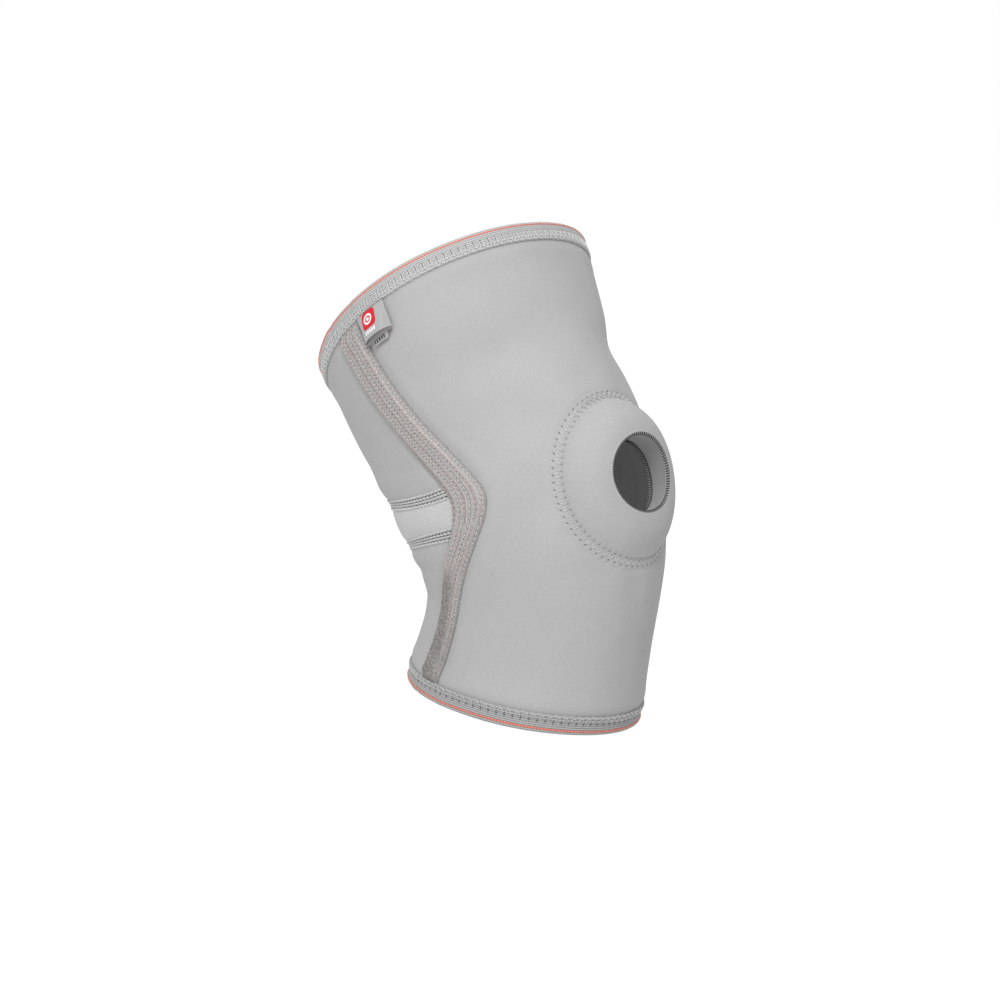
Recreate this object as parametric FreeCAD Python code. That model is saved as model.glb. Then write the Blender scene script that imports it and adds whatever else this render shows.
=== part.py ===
import FreeCAD, Part
import math
import os

os.makedirs("parts", exist_ok=True)
V = FreeCAD.Vector

# Frame: origin on the knee's flexion axis; X across the knee (the label is on
# the -X side), -Y towards the kneecap, +Z up the leg. Millimetres and degrees.

# ---- leg line ----
THIGH_TILT = 25.4        # thigh axis leans back from vertical
CALF_TILT = -14.3        # calf axis leans the other way
BEND_AT = -6.0           # station where the two directions meet
BEND_SPREAD = 34.0       # length over which the sleeve turns

# ---- sections: station along the leg line, half width, depth to front, depth to back ----
STATIONS = (-105, -65, -25, 2, 28, 54, 74, 94, 118, 150)
HALF_WIDTH = (56, 53, 53, 58, 60.5, 61, 64.5, 68, 71, 75.5)
FRONT_DEPTH = (57, 60.5, 63, 69, 71, 68.5, 66, 65, 65.5, 66.5)
BACK_DEPTH = (59, 58, 51, 56, 62, 67, 69.5, 71, 73, 76)

# ---- hems, as station plus cosine term (front is cos = 1) ----
TOP_HEM, TOP_HEM_RISE, TOP_HEM_SIDE = 126.7, 11.7, 2.2
BOTTOM_HEM, BOTTOM_HEM_RISE = -74.6, 0.8

# ---- thicknesses ----
PANEL = 3.2
INSERT = 2.4
LAYER_GAP = 0.1
SEAM_GAP = 0.15          # half the gap between butted panels
BODY_GAP = 0.3           # half the gap between bodies

# ---- surfaces of revolution that part the thigh, knee and calf bodies ----
THIGH_PART_R, THIGH_PART_K = 97.0, 1.80
CALF_PART_R, CALF_PART_K = 74.5, 1.36

# ---- binding tape, folded over each hem ----
BINDING_LEG = 9.5
BINDING_THICK = 0.9
STRIPE_WIDTH, STRIPE_IN, STRIPE_THICK = 0.9, 1.6, 0.2
HEM_STITCH_WIDTH, HEM_STITCH_THICK = 4.2, 0.4

# ---- patella ring ----
RING_AT = 16.2
RING_R = 42.8
RING_PAD_R = 38.5
RING_PAD_BORE = 19.5
RING_FOOT_R = 39.8       # where the facing starts to rise
RING_CROWN_R = 20.4      # where it is full height
RING_RISE = 7.2
RING_LEAN = 0.22         # the pad is that much thicker at the top and thinner at the bottom
FACING = 1.0
FACING_BORE = 17.2
PANEL_BORE = 19.0
ZIGZAG_IN, ZIGZAG_THICK = 39.2, 0.4
OVERLOCK_R, OVERLOCK_OUT, OVERLOCK_THICK = 16.6, 18.6, 0.4
OVERLOCK_BACK_R = 18.2   # the wall of the hole widens towards the leg

# ---- side seam and casing: angle from the front against station ----
SEAM_STATIONS = (-75, -37, -9, 7, 21, 33, 56, 84, 114, 130)
SEAM_ANGLE = (108, 100, 91.5, 81.5, 75, 78, 87, 94, 97, 98)
CASING_HALF = 7.6
CASING_TAPE = 0.8
CHANNEL_HALF, CHANNEL_RISE = 4.2, 2.1
CASING_STITCH_HALF, CASING_STITCH_THICK = 5.6, 0.35
STAY_HALF, STAY_THICK = 3.0, 1.6
STAY_CAP_HALF, STAY_CAP_LENGTH, STAY_CAP_THICK = 3.6, 8.0, 1.8

# ---- popliteal insert: station at the casing and at the middle of the back ----
INSERT_TOP, INSERT_TOP_BACK = 28.0, 48.0
INSERT_LOW, INSERT_LOW_BACK = 9.5, 14.5
INSERT_FROM = 80.0
SEAM_BAND, SEAM_BAND_THICK = 6.5, 0.45

# ---- side label ----
LABEL_AT = -80.5
LABEL_WIDTH, LABEL_DROP, LABEL_PLY = 18.4, 14.4, 0.5
LABEL_BULGE = 3.9
LABEL_SKEW = -0.26        # it hangs a little back from square to the hem
LABEL_FOLD = 3.4         # the folds take this many plies of width
LABEL_STANDOFF = 1.9
EMBLEM_WIDTH, EMBLEM_HEIGHT, EMBLEM_THICK = 8.6, 8.2, 0.2


def natural_spline(xs, ys):
    n = len(xs)
    h = [xs[i + 1] - xs[i] for i in range(n - 1)]
    a = [0.0] * n
    c = [1.0] * n
    d = [0.0] * n
    for i in range(1, n - 1):
        c[i] = 2 * (h[i - 1] + h[i])
        d[i] = 6 * ((ys[i + 1] - ys[i]) / h[i] - (ys[i] - ys[i - 1]) / h[i - 1])
    up = [0.0] * n
    for i in range(1, n - 1):
        low = h[i - 1] if i > 1 else 0.0
        m = c[i] - low * up[i - 1]
        up[i] = h[i] / m if i < n - 2 else 0.0
        a[i] = (d[i] - low * a[i - 1]) / m
    m2 = [0.0] * n
    for i in range(n - 2, 0, -1):
        m2[i] = a[i] - up[i] * m2[i + 1]

    def value(x):
        i = 0
        while i < n - 2 and x > xs[i + 1]:
            i += 1
        t, u = x - xs[i], xs[i + 1] - x
        return ((m2[i] * u ** 3 + m2[i + 1] * t ** 3) / (6 * h[i])
                + (ys[i] / h[i] - m2[i] * h[i] / 6) * u
                + (ys[i + 1] / h[i] - m2[i + 1] * h[i] / 6) * t)
    return value


half_width = natural_spline(STATIONS, HALF_WIDTH)
front_depth = natural_spline(STATIONS, FRONT_DEPTH)
back_depth = natural_spline(STATIONS, BACK_DEPTH)
seam_angle = natural_spline(SEAM_STATIONS, SEAM_ANGLE)


def tilt(s):
    t, c = math.radians(THIGH_TILT), math.radians(CALF_TILT)
    return c + (t - c) * 0.5 * (1 + math.tanh((s - BEND_AT) / BEND_SPREAD))


STEP = 0.5
LINE_LOW, LINE_HIGH = -120.0, 170.0
COUNT = int((LINE_HIGH - LINE_LOW) / STEP) + 1
LINE = []
y = z = 0.0
for i in range(COUNT):
    s = LINE_LOW + i * STEP
    LINE.append((y, z))
    b = tilt(s + STEP / 2)
    y += math.sin(b) * STEP
    z += math.cos(b) * STEP
ZERO = LINE[int(-LINE_LOW / STEP)]


def leg_line(s):
    i = min(max(int((s - LINE_LOW) / STEP), 0), COUNT - 2)
    s0 = LINE_LOW + i * STEP
    b = tilt((s + s0) / 2)
    return (LINE[i][0] - ZERO[0] + math.sin(b) * (s - s0),
            LINE[i][1] - ZERO[1] + math.cos(b) * (s - s0))


def skin(s, phi):
    y0, z0 = leg_line(s)
    b = tilt(s)
    c = math.cos(phi)
    a = (front_depth(s) if c > 0 else back_depth(s)) * c
    return V(half_width(s) * math.sin(phi), y0 - a * math.cos(b), z0 + a * math.sin(b))


def normal(s, phi):
    e = 0.02
    ds = skin(s + 0.5, phi) - skin(s - 0.5, phi)
    dp = skin(s, phi + e) - skin(s, phi - e)
    n = dp.cross(ds)
    n.normalize()
    y0, z0 = leg_line(s)
    if n.dot(skin(s, phi) - V(0, y0, z0)) < 0:
        n = n * -1
    return n


def at(s, phi, off=0.0):
    return skin(s, phi) + normal(s, phi) * off


def girth_rate(s, phi):
    return (skin(s, phi + 0.02) - skin(s, phi - 0.02)).Length / 0.04


def top_hem(phi):
    return TOP_HEM + TOP_HEM_RISE * math.cos(phi) + TOP_HEM_SIDE * math.sin(phi) ** 2


def bottom_hem(phi):
    return BOTTOM_HEM + BOTTOM_HEM_RISE * math.cos(phi)


def parting(phi, off, radius, k, high, shift):
    # station where the skin, offset by off, meets the parting surface of revolution
    lo, hi = (5.0, 118.0) if high else (-5.0, -95.0)

    def outside(s):
        p = at(s, phi, off)
        return math.hypot(p.y, p.z) - math.sqrt(max((radius + shift) ** 2 - k * p.x ** 2, 1.0))
    for _ in range(24):
        mid = (lo + hi) / 2
        if outside(mid) > 0:
            hi = mid
        else:
            lo = mid
    return (lo + hi) / 2


def thigh_parting(phi, off, shift):
    return parting(phi, off, THIGH_PART_R, THIGH_PART_K, True, shift)


def calf_parting(phi, off, shift):
    return parting(phi, off, CALF_PART_R, CALF_PART_K, False, shift)


def insert_top(phi):
    d = abs(math.degrees(phi))
    d = d if d <= 180 else 360 - d
    t = min(max((d - INSERT_FROM) / (180 - INSERT_FROM), 0), 1)
    return INSERT_TOP + (INSERT_TOP_BACK - INSERT_TOP) * math.sin(t * math.pi / 2) ** 2


def insert_low(phi):
    d = abs(math.degrees(phi))
    d = d if d <= 180 else 360 - d
    t = min(max((d - INSERT_FROM) / (180 - INSERT_FROM), 0), 1)
    return INSERT_LOW + (INSERT_LOW_BACK - INSERT_LOW) * math.sin(t * math.pi / 2) ** 2


# ---- solids ----

def surface(grid):
    s = Part.BSplineSurface()
    s.interpolate(grid)
    return s


def solid_of(faces, name):
    shell = Part.makeShell(faces)
    shell.sewShape()
    if shell.ShapeType != "Shell":
        shell = shell.Shells[0]
    solid = Part.makeSolid(shell)
    if solid.Volume < 0:
        solid.reverse()
    if not solid.isValid():
        print(name, "is not valid")
    return solid


def slab(outer, inner, name):
    so, si = surface(outer), surface(inner)
    faces = [so.toShape(), si.toShape()]
    uo, ui = so.bounds(), si.bounds()
    for k in (0, 1):
        faces.append(Part.makeRuledSurface(so.uIso(uo[k]).toShape(), si.uIso(ui[k]).toShape()))
    for k in (2, 3):
        faces.append(Part.makeRuledSurface(so.vIso(uo[k]).toShape(), si.vIso(ui[k]).toShape()))
    return solid_of(faces, name)


def ring(profiles, name):
    # profiles: one closed loop of points for each corner of the section
    edges = []
    for points in profiles:
        c = Part.BSplineCurve()
        c.interpolate(Points=points, PeriodicFlag=True)
        edges.append(c.toShape())
    faces = [Part.makeRuledSurface(edges[i], edges[(i + 1) % len(edges)]) for i in range(len(edges))]
    return solid_of(faces, name)


def patch(phi_range, s_low, s_high, off_out, off_in, nu, nv):
    # a four-sided wall; the station limits may depend on angle and offset
    grids = []
    for off in (off_out, off_in):
        grid = []
        for i in range(nu):
            row = []
            for j in range(nv):
                s = 0.0
                u, v = i / (nu - 1), j / (nv - 1)
                a, b = phi_range(20.0)
                phi = a + (b - a) * u
                for _ in range(6):
                    s = s_low(phi, off) + (s_high(phi, off) - s_low(phi, off)) * v
                    a, b = phi_range(s)
                    phi = a + (b - a) * u
                row.append(at(s, phi, off))
            grid.append(row)
        grids.append(grid)
    return grids


def front_range(s):
    a = math.radians(seam_angle(s))
    g = SEAM_GAP / girth_rate(s, a)
    return -a + g, a - g


def back_range(s):
    a = math.radians(seam_angle(s))
    g = SEAM_GAP / girth_rate(s, a)
    return a + g, 2 * math.pi - a - g


def wall(phi_range, s_low, s_high, thick, name, nu=25, nv=9):
    return slab(*patch(phi_range, s_low, s_high, 0.0, -thick, nu, nv), name)


NODES = {}
HEM_END = BINDING_THICK + LAYER_GAP

# panels of the thigh body
NODES["front_panel_thigh"] = wall(
    front_range, lambda p, o: thigh_parting(p, o, BODY_GAP), lambda p, o: top_hem(p) - HEM_END,
    PANEL, "front_panel_thigh")
NODES["rear_thigh_panel"] = wall(
    back_range, lambda p, o: thigh_parting(p, o, BODY_GAP), lambda p, o: top_hem(p) - HEM_END,
    PANEL, "rear_thigh_panel")

# panels of the knee body
knee_front = wall(
    front_range, lambda p, o: calf_parting(p, o, -BODY_GAP), lambda p, o: thigh_parting(p, o, -BODY_GAP),
    PANEL, "front_panel_knee", 27, 17)
centre = at(RING_AT, 0.0, 0.0)
out = normal(RING_AT, 0.0)
bore = Part.makeCylinder(PANEL_BORE, 40, centre - out * 25, out)
NODES["front_panel_knee"] = knee_front.cut(bore)
NODES["rear_thigh_panel_lower"] = wall(
    back_range, lambda p, o: insert_top(p) + SEAM_GAP, lambda p, o: thigh_parting(p, o, -BODY_GAP),
    PANEL, "rear_thigh_panel_lower")
NODES["popliteal_insert"] = wall(
    back_range, lambda p, o: insert_low(p) + SEAM_GAP, lambda p, o: insert_top(p) - SEAM_GAP,
    INSERT, "popliteal_insert")
NODES["rear_calf_panel_upper"] = wall(
    back_range, lambda p, o: calf_parting(p, o, -BODY_GAP), lambda p, o: insert_low(p) - SEAM_GAP,
    PANEL, "rear_calf_panel_upper", 25, 11)

# panels of the calf body
NODES["front_panel_calf"] = wall(
    front_range, lambda p, o: bottom_hem(p) + HEM_END, lambda p, o: calf_parting(p, o, BODY_GAP),
    PANEL, "front_panel_calf")
NODES["rear_calf_panel"] = wall(
    back_range, lambda p, o: bottom_hem(p) + HEM_END, lambda p, o: calf_parting(p, o, BODY_GAP),
    PANEL, "rear_calf_panel")


# ---- bindings, stripes and hem stitching ----
def hem_ring(hem, side, corners, name, n=48):
    # corners: (distance in from the hem edge, offset)
    loops = []
    for inset, off in corners:
        loops.append([at(hem(2 * math.pi * i / n) - side * inset, 2 * math.pi * i / n, off) for i in range(n)])
    return ring(loops, name)


B0 = LAYER_GAP
B1 = LAYER_GAP + BINDING_THICK
I0 = -PANEL - LAYER_GAP
I1 = I0 - BINDING_THICK
for end, hem, side in (("top", top_hem, 1), ("bottom", bottom_hem, -1)):
    NODES[end + "_binding"] = hem_ring(hem, side, [
        (BINDING_LEG, B1), (0, B1), (0, I1), (BINDING_LEG, I1),
        (BINDING_LEG, I0), (BINDING_THICK, I0), (BINDING_THICK, B0), (BINDING_LEG, B0)], end + "_binding")
    lo, hi = B1 + 0.05, B1 + 0.05 + STRIPE_THICK
    NODES[end + "_binding_stripe"] = hem_ring(hem, side, [
        (STRIPE_IN, hi), (STRIPE_IN + STRIPE_WIDTH, hi), (STRIPE_IN + STRIPE_WIDTH, lo), (STRIPE_IN, lo)],
        end + "_binding_stripe")
    hi = B1 + 0.05 + HEM_STITCH_THICK
    a, b = BINDING_LEG - 0.2 - HEM_STITCH_WIDTH, BINDING_LEG - 0.2
    NODES[end + "_binding_stitch"] = hem_ring(hem, side, [(a, hi), (b, hi), (b, lo), (a, lo)],
                                              end + "_binding_stitch")


# ---- patella ring ----
def rise(rho, psi):
    t = min(max((RING_FOOT_R - rho) / (RING_FOOT_R - RING_CROWN_R), 0), 1)
    return RING_RISE * (1 + RING_LEAN * math.sin(psi)) * (1 - (1 - t) ** 2.2) ** 0.8


FRONT = [(RING_AT + k * 0.5, skin(RING_AT + k * 0.5, 0.0)) for k in range(-110, 111)]
RUN = [0.0]
for k in range(1, len(FRONT)):
    RUN.append(RUN[-1] + (FRONT[k][1] - FRONT[k - 1][1]).Length)
RUN = [r - RUN[110] for r in RUN]


def ring_place(rho, psi):
    v, u = rho * math.sin(psi), rho * math.cos(psi)
    k = 0
    while k < len(RUN) - 2 and v > RUN[k + 1]:
        k += 1
    s = FRONT[k][0] + 0.5 * (v - RUN[k]) / (RUN[k + 1] - RUN[k])
    phi, done, step = 0.0, 0.0, math.radians(0.5)
    while done < abs(u):
        seg = (skin(s, phi + step) - skin(s, phi)).Length
        if done + seg >= abs(u):
            phi += step * (abs(u) - done) / seg
            break
        done += seg
        phi += step
    return s, math.copysign(phi, u)


def polar(rhos, off, n=36, wrap=True):
    # one loop of points for each radius
    loops = []
    for rho in rhos:
        loop = []
        for i in range(n):
            s, phi = ring_place(rho, 2 * math.pi * i / n)
            loop.append(at(s, phi, off(rho, 2 * math.pi * i / n)))
        loops.append(loop)
    return loops


def facing_in(rho, psi):
    return LAYER_GAP + rise(rho, psi)


def facing_out(rho, psi):
    return facing_in(rho, psi) + FACING


def polar_ring(rhos, top, bottom, name):
    # an annular piece: top loops outwards, then bottom loops back
    return ring(polar(rhos, top) + polar(rhos[::-1], bottom), name)


STEPS = (FACING_BORE, 20.4, 23, 26, 29, 32, 34.5, 36.5, 38, 39.2, 40.2, RING_R)
NODES["patella_ring_facing"] = polar_ring(STEPS, facing_out, facing_in, "patella_ring_facing")
NODES["patella_ring_pad"] = polar_ring(
    (RING_PAD_BORE, 20.4, 23, 26, 29, 32, 34.5, 36.5, RING_PAD_R),
    lambda r, a: facing_in(r, a) - LAYER_GAP, lambda r, a: LAYER_GAP, "patella_ring_pad")
NODES["patella_ring_zigzag"] = polar_ring(
    (ZIGZAG_IN, 40.2, RING_R), lambda r, a: facing_out(r, a) + 0.12 + ZIGZAG_THICK,
    lambda r, a: facing_out(r, a) + 0.12, "patella_ring_zigzag")


def crown(rho, psi):
    return facing_out(RING_CROWN_R, psi) + 0.05


def crown_out(rho, psi):
    return crown(rho, psi) + OVERLOCK_THICK


def hole_back(rho, psi):
    return -PANEL - LAYER_GAP


NODES["patella_ring_overlock"] = ring(
    polar((OVERLOCK_OUT,), crown_out)
    + polar((OVERLOCK_R,), crown_out)
    + polar((OVERLOCK_BACK_R,), hole_back)
    + polar((OVERLOCK_BACK_R + OVERLOCK_THICK,), hole_back)
    + polar((OVERLOCK_R + OVERLOCK_THICK,), crown)
    + polar((OVERLOCK_OUT,), crown), "patella_ring_overlock")


# ---- casings, stays and seam bands ----
def channel(t):
    a = abs(t)
    if a <= CHANNEL_HALF:
        return CHANNEL_RISE
    u = (a - CHANNEL_HALF) / (CASING_HALF - CHANNEL_HALF)
    return CHANNEL_RISE * 0.5 * (1 + math.cos(math.pi * min(u * 1.25, 1)))


def strip(side, half, s_low, s_high, off_out, off_in, name, nu=11, nv=29):
    grids = []
    for off in (off_out, off_in):
        grid = []
        for i in range(nu):
            t = -half + 2 * half * i / (nu - 1)
            row = []
            for j in range(nv):
                s = s_low + (s_high - s_low) * j / (nv - 1)
                a = math.radians(seam_angle(s))
                row.append(at(s, side * (a + t / girth_rate(s, a)), off(t)))
            grid.append(row)
        grids.append(grid)
    return slab(*grids, name)


for side, word in ((-1, "left"), (1, "right")):
    a = math.radians(seam_angle(114))
    high = top_hem(a + 0.12) - BINDING_LEG - 0.4
    a = math.radians(seam_angle(-65))
    low = bottom_hem(a) + BINDING_LEG + 0.6
    NODES["side_casing_" + word] = strip(
        side, CASING_HALF, low, high, lambda t: LAYER_GAP + channel(t) + CASING_TAPE,
        lambda t: LAYER_GAP + channel(t), "side_casing_" + word, 15)
    NODES["casing_stitch_" + word] = strip(
        side, CASING_STITCH_HALF, low + 0.5, high - 0.5,
        lambda t: LAYER_GAP + channel(t) + CASING_TAPE + 0.05 + CASING_STITCH_THICK,
        lambda t: LAYER_GAP + channel(t) + CASING_TAPE + 0.05, "casing_stitch_" + word)
    c0, c1 = low + 6.0, high - 6.0
    NODES["stay_cap_%s_lower" % word] = strip(
        side, STAY_CAP_HALF, c0, c0 + STAY_CAP_LENGTH, lambda t: 0.15 + STAY_CAP_THICK,
        lambda t: 0.15, "stay_cap_%s_lower" % word, 3, 4)
    NODES["stay_cap_%s_upper" % word] = strip(
        side, STAY_CAP_HALF, c1 - STAY_CAP_LENGTH, c1, lambda t: 0.15 + STAY_CAP_THICK,
        lambda t: 0.15, "stay_cap_%s_upper" % word, 3, 4)
    NODES["spiral_stay_" + word] = strip(
        side, STAY_HALF, c0 + STAY_CAP_LENGTH + 0.3, c1 - STAY_CAP_LENGTH - 0.3,
        lambda t: 0.2 + STAY_THICK, lambda t: 0.2, "spiral_stay_" + word, 3, 27)


def band_range(s):
    a = math.radians(seam_angle(s))
    g = (CASING_HALF + 0.3) / girth_rate(s, a)
    return a + g, 2 * math.pi - a - g


for name, line in (("insert_seam_upper", insert_top), ("insert_seam_lower", insert_low)):
    NODES[name] = slab(*patch(
        band_range, lambda p, o: line(p) - SEAM_BAND / 2, lambda p, o: line(p) + SEAM_BAND / 2,
        LAYER_GAP + SEAM_BAND_THICK, LAYER_GAP, 31, 4), name)

# ---- side label: a flattened tube of tape, sewn along its top edge ----
phi0 = math.radians(LABEL_AT)
s0 = top_hem(phi0) - BINDING_LEG - 0.6
origin = at(s0, phi0, LABEL_STANDOFF)
e3 = normal(s0, phi0)
along = at(top_hem(phi0 + 0.15) - BINDING_LEG - 0.6, phi0 + 0.15) \
    - at(top_hem(phi0 - 0.15) - BINDING_LEG - 0.6, phi0 - 0.15)
e1 = along - e3 * along.dot(e3)
e1.normalize()
e2 = e1.cross(e3)
e2.normalize()
if e2.z > 0:
    e2 = e2 * -1
SAG = 1 / (2 * 78.0)


def label_front(x, d):
    h = 0.55 + (LABEL_BULGE - 0.55) * math.sin(min(d / LABEL_DROP, 1) * math.pi / 2)
    return h * (1 - (2 * x / LABEL_WIDTH) ** 4) - SAG * x * x + LABEL_PLY


def label_back(x, d):
    return -SAG * x * x - 0.02 * d


def label_point(x, d, o):
    return origin + e1 * (x + LABEL_SKEW * d) + e2 * d + e3 * o


def label_section(d, inset):
    half = LABEL_WIDTH / 2 - inset * LABEL_FOLD
    pts = []
    n = 13
    for i in range(n):
        x = -half + 2 * half * i / (n - 1)
        x *= 0.985
        pts.append(label_point(x, d, label_front(x, d) - inset))
    for i in range(n):
        x = half - 2 * half * i / (n - 1)
        x *= 0.985
        pts.append(label_point(x, d, label_back(x, d) + inset))
    c = Part.BSplineCurve()
    c.interpolate(Points=pts, PeriodicFlag=True)
    return Part.Wire([c.toShape()])


depths = [0.0, 3.0, 6.0, 9.0, 12.0, LABEL_DROP]
tube = Part.makeLoft([label_section(d, 0.0) for d in depths], True, False)
core = Part.makeLoft([label_section(d, LABEL_PLY) for d in (2.0, 5.0, 8.0, 11.0, LABEL_DROP + 1.5)], True, False)
NODES["label_loop"] = tube.cut(core)

grids = []
for lift in (0.05 + EMBLEM_THICK, 0.05):
    grid = []
    for i in range(7):
        x = -1.6 + EMBLEM_WIDTH * (i / 6 - 0.5)
        row = []
        for j in range(7):
            d = 5.4 + EMBLEM_HEIGHT * (j / 6 - 0.5)
            row.append(label_point(x, d, label_front(x, d) + lift))
        grid.append(row)
    grids.append(grid)
NODES["label_emblem"] = slab(*grids, "label_emblem")

print("hinge of the label: point", [round(v, 3) for v in origin], "axis", [round(v, 4) for v in e1],
      "outward", [round(v, 4) for v in e3])
for name, shape in NODES.items():
    box = shape.BoundBox
    print("%-24s %-9s valid=%s solids=%d vol=%9.1f  x %.1f..%.1f y %.1f..%.1f z %.1f..%.1f" % (
        name, shape.ShapeType, shape.isValid(), len(shape.Solids), shape.Volume,
        box.XMin, box.XMax, box.YMin, box.YMax, box.ZMin, box.ZMax))
    shape.exportStep("parts/%s.step" % name)
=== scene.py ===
import math

import bpy
import numpy as np
from mathutils import Matrix


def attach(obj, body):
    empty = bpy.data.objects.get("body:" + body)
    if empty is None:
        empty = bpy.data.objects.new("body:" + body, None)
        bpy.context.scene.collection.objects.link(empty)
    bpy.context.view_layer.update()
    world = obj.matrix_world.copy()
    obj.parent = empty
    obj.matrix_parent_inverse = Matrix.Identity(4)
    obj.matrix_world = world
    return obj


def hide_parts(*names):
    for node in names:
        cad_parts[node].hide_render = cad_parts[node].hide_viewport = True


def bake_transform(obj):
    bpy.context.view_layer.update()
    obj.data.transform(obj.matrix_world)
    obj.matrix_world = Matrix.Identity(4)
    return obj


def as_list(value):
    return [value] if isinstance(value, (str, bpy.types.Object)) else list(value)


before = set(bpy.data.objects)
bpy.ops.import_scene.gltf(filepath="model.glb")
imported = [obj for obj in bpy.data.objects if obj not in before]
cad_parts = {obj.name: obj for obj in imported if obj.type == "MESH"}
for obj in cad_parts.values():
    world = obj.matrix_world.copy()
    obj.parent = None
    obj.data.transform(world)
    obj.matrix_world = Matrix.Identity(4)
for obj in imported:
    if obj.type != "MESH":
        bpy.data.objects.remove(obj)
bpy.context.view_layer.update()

TAU = 2 * math.pi

# ---- sleeve form
# The same leg line and sections as the CAD model, in millimetres.
THIGH_TILT, CALF_TILT = 25.4, -14.3
BEND_AT, BEND_SPREAD = -6.0, 34.0
STATIONS = (-105, -65, -25, 2, 28, 54, 74, 94, 118, 150)
HALF_WIDTH = (56, 53, 53, 58, 60.5, 61, 64.5, 68, 71, 75.5)
FRONT_DEPTH = (57, 60.5, 63, 69, 71, 68.5, 66, 65, 65.5, 66.5)
BACK_DEPTH = (59, 58, 51, 56, 62, 67, 69.5, 71, 73, 76)
TOP_HEM, TOP_HEM_RISE, TOP_HEM_SIDE = 126.7, 11.7, 2.2
BOTTOM_HEM, BOTTOM_HEM_RISE = -74.6, 0.8
PANEL, INSERT_LINED = 3.2, 3.1           # thickness of the wall
BINDING_LEG = 9.5
RING_AT = 16.2
BORE_FRONT, BORE_BACK = 17.0, 18.4
RING_FOOT_R, RING_CROWN_R, RING_RISE, RING_LEAN = 39.8, 20.4, 8.2, 0.2
RING_FOOT_SHARE, RING_ROUND = 0.13, 2.1
HOLE_CUT, HOLE_RIM, HOLE_NEAR = 18.4, 19.0, 20.0     # the panel's own hole, hidden by the ring's facing
SEAM_STATIONS = (-75, -37, -9, 7, 21, 33, 56, 84, 114, 130)
SEAM_ANGLE = (108, 100, 91.5, 81.5, 75, 78, 87, 94, 97, 98)
CASING_HALF, CHANNEL_HALF, CHANNEL_RISE = 7.6, 4.2, 2.1
INSERT_TOP, INSERT_TOP_BACK = 28.0, 48.0
INSERT_LOW, INSERT_LOW_BACK = 9.5, 14.5
INSERT_FROM = 80.0
SPLIT_AT = 11.5          # station where the upper and lower pieces meet
PANEL_GAP = 0.03         # between two panels, under the seam that covers it
HEM_TUCK, CASING_TUCK = 1.2, 1.2     # from the fold to the panel's edge, and of the casing under the tape
KNEE_S = 20.0            # a station at the knee, where searches start and the camera aims
# millimetres per radian round the sleeve, for the weave, the seams, the casings and the dents beside them
MEAN_RADIUS, SEAM_RADIUS, CASING_RADIUS, DENT_RADIUS = 66.0, 62.0, 61.0, 63.0
TOP_RADIUS, BOTTOM_RADIUS = 73.0, 56.0               # of the two hems


def spline(xs, ys):
    xs, ys = np.array(xs, float), np.array(ys, float)
    n, h = len(xs), np.diff(xs)
    a, b = np.eye(n), np.zeros(n)
    for i in range(1, n - 1):
        a[i, i - 1:i + 2] = h[i - 1], 2 * (h[i - 1] + h[i]), h[i]
        b[i] = 6 * ((ys[i + 1] - ys[i]) / h[i] - (ys[i] - ys[i - 1]) / h[i - 1])
    m = np.linalg.solve(a, b)

    def value(x):
        x = np.asarray(x, float)
        i = np.clip(np.searchsorted(xs, x) - 1, 0, n - 2)
        t, u, w = x - xs[i], xs[i + 1] - x, h[i]
        return ((m[i] * u ** 3 + m[i + 1] * t ** 3) / (6 * w) + (ys[i] / w - m[i] * w / 6) * u
                + (ys[i + 1] / w - m[i + 1] * w / 6) * t)
    return value


half_width = spline(STATIONS, HALF_WIDTH)
front_depth = spline(STATIONS, FRONT_DEPTH)
back_depth = spline(STATIONS, BACK_DEPTH)
seam_degrees = spline(SEAM_STATIONS, SEAM_ANGLE)


def spread(*arrays):
    """The arrays as floats, all of one shape."""
    return np.broadcast_arrays(*(np.asarray(x, float) for x in arrays))


def turns(n):
    """n angles round a full turn."""
    return np.arange(n) * TAU / n


def tilt(s):
    t, c = math.radians(THIGH_TILT), math.radians(CALF_TILT)
    return c + (t - c) * 0.5 * (1 + np.tanh((s - BEND_AT) / BEND_SPREAD))


LINE_STEP = 0.25
LINE_S = np.arange(-120, 171, LINE_STEP)
LINE_TILT = tilt(LINE_S[:-1] + LINE_STEP / 2)
LINE_Y = np.concatenate([[0], np.cumsum(np.sin(LINE_TILT) * LINE_STEP)])
LINE_Z = np.concatenate([[0], np.cumsum(np.cos(LINE_TILT) * LINE_STEP)])
LINE_Y -= np.interp(0, LINE_S, LINE_Y)
LINE_Z -= np.interp(0, LINE_S, LINE_Z)


def leg_line(s):
    y, z = np.interp(s, LINE_S, LINE_Y), np.interp(s, LINE_S, LINE_Z)
    return np.stack([0 * y, y, z], -1)


def skin(s, phi):
    """Point on the bare form at station s along the leg line and angle phi from the front."""
    s, phi = spread(s, phi)
    b, c = tilt(s), np.cos(phi)
    a = np.where(c > 0, front_depth(s), back_depth(s)) * c
    p = leg_line(s)
    return np.stack([half_width(s) * np.sin(phi), p[..., 1] - a * np.cos(b), p[..., 2] + a * np.sin(b)], -1)


def clamp(x):
    return np.clip(x, 0, 1)


def unit(v):
    return v / np.maximum(np.linalg.norm(v, axis=-1, keepdims=True), 1e-12)


def skin_normal(s, phi):
    ds = skin(s + 0.5, phi) - skin(s - 0.5, phi)
    dp = skin(s, phi + 0.02) - skin(s, phi - 0.02)
    n = unit(np.cross(dp, ds))
    out = skin(s, phi) - leg_line(np.broadcast_arrays(s, phi)[0])
    return n * np.sign((n * out).sum(-1, keepdims=True))


def girth_rate(s, phi):
    return np.linalg.norm(skin(s, phi + 0.02) - skin(s, phi - 0.02), axis=-1) / 0.04


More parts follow.
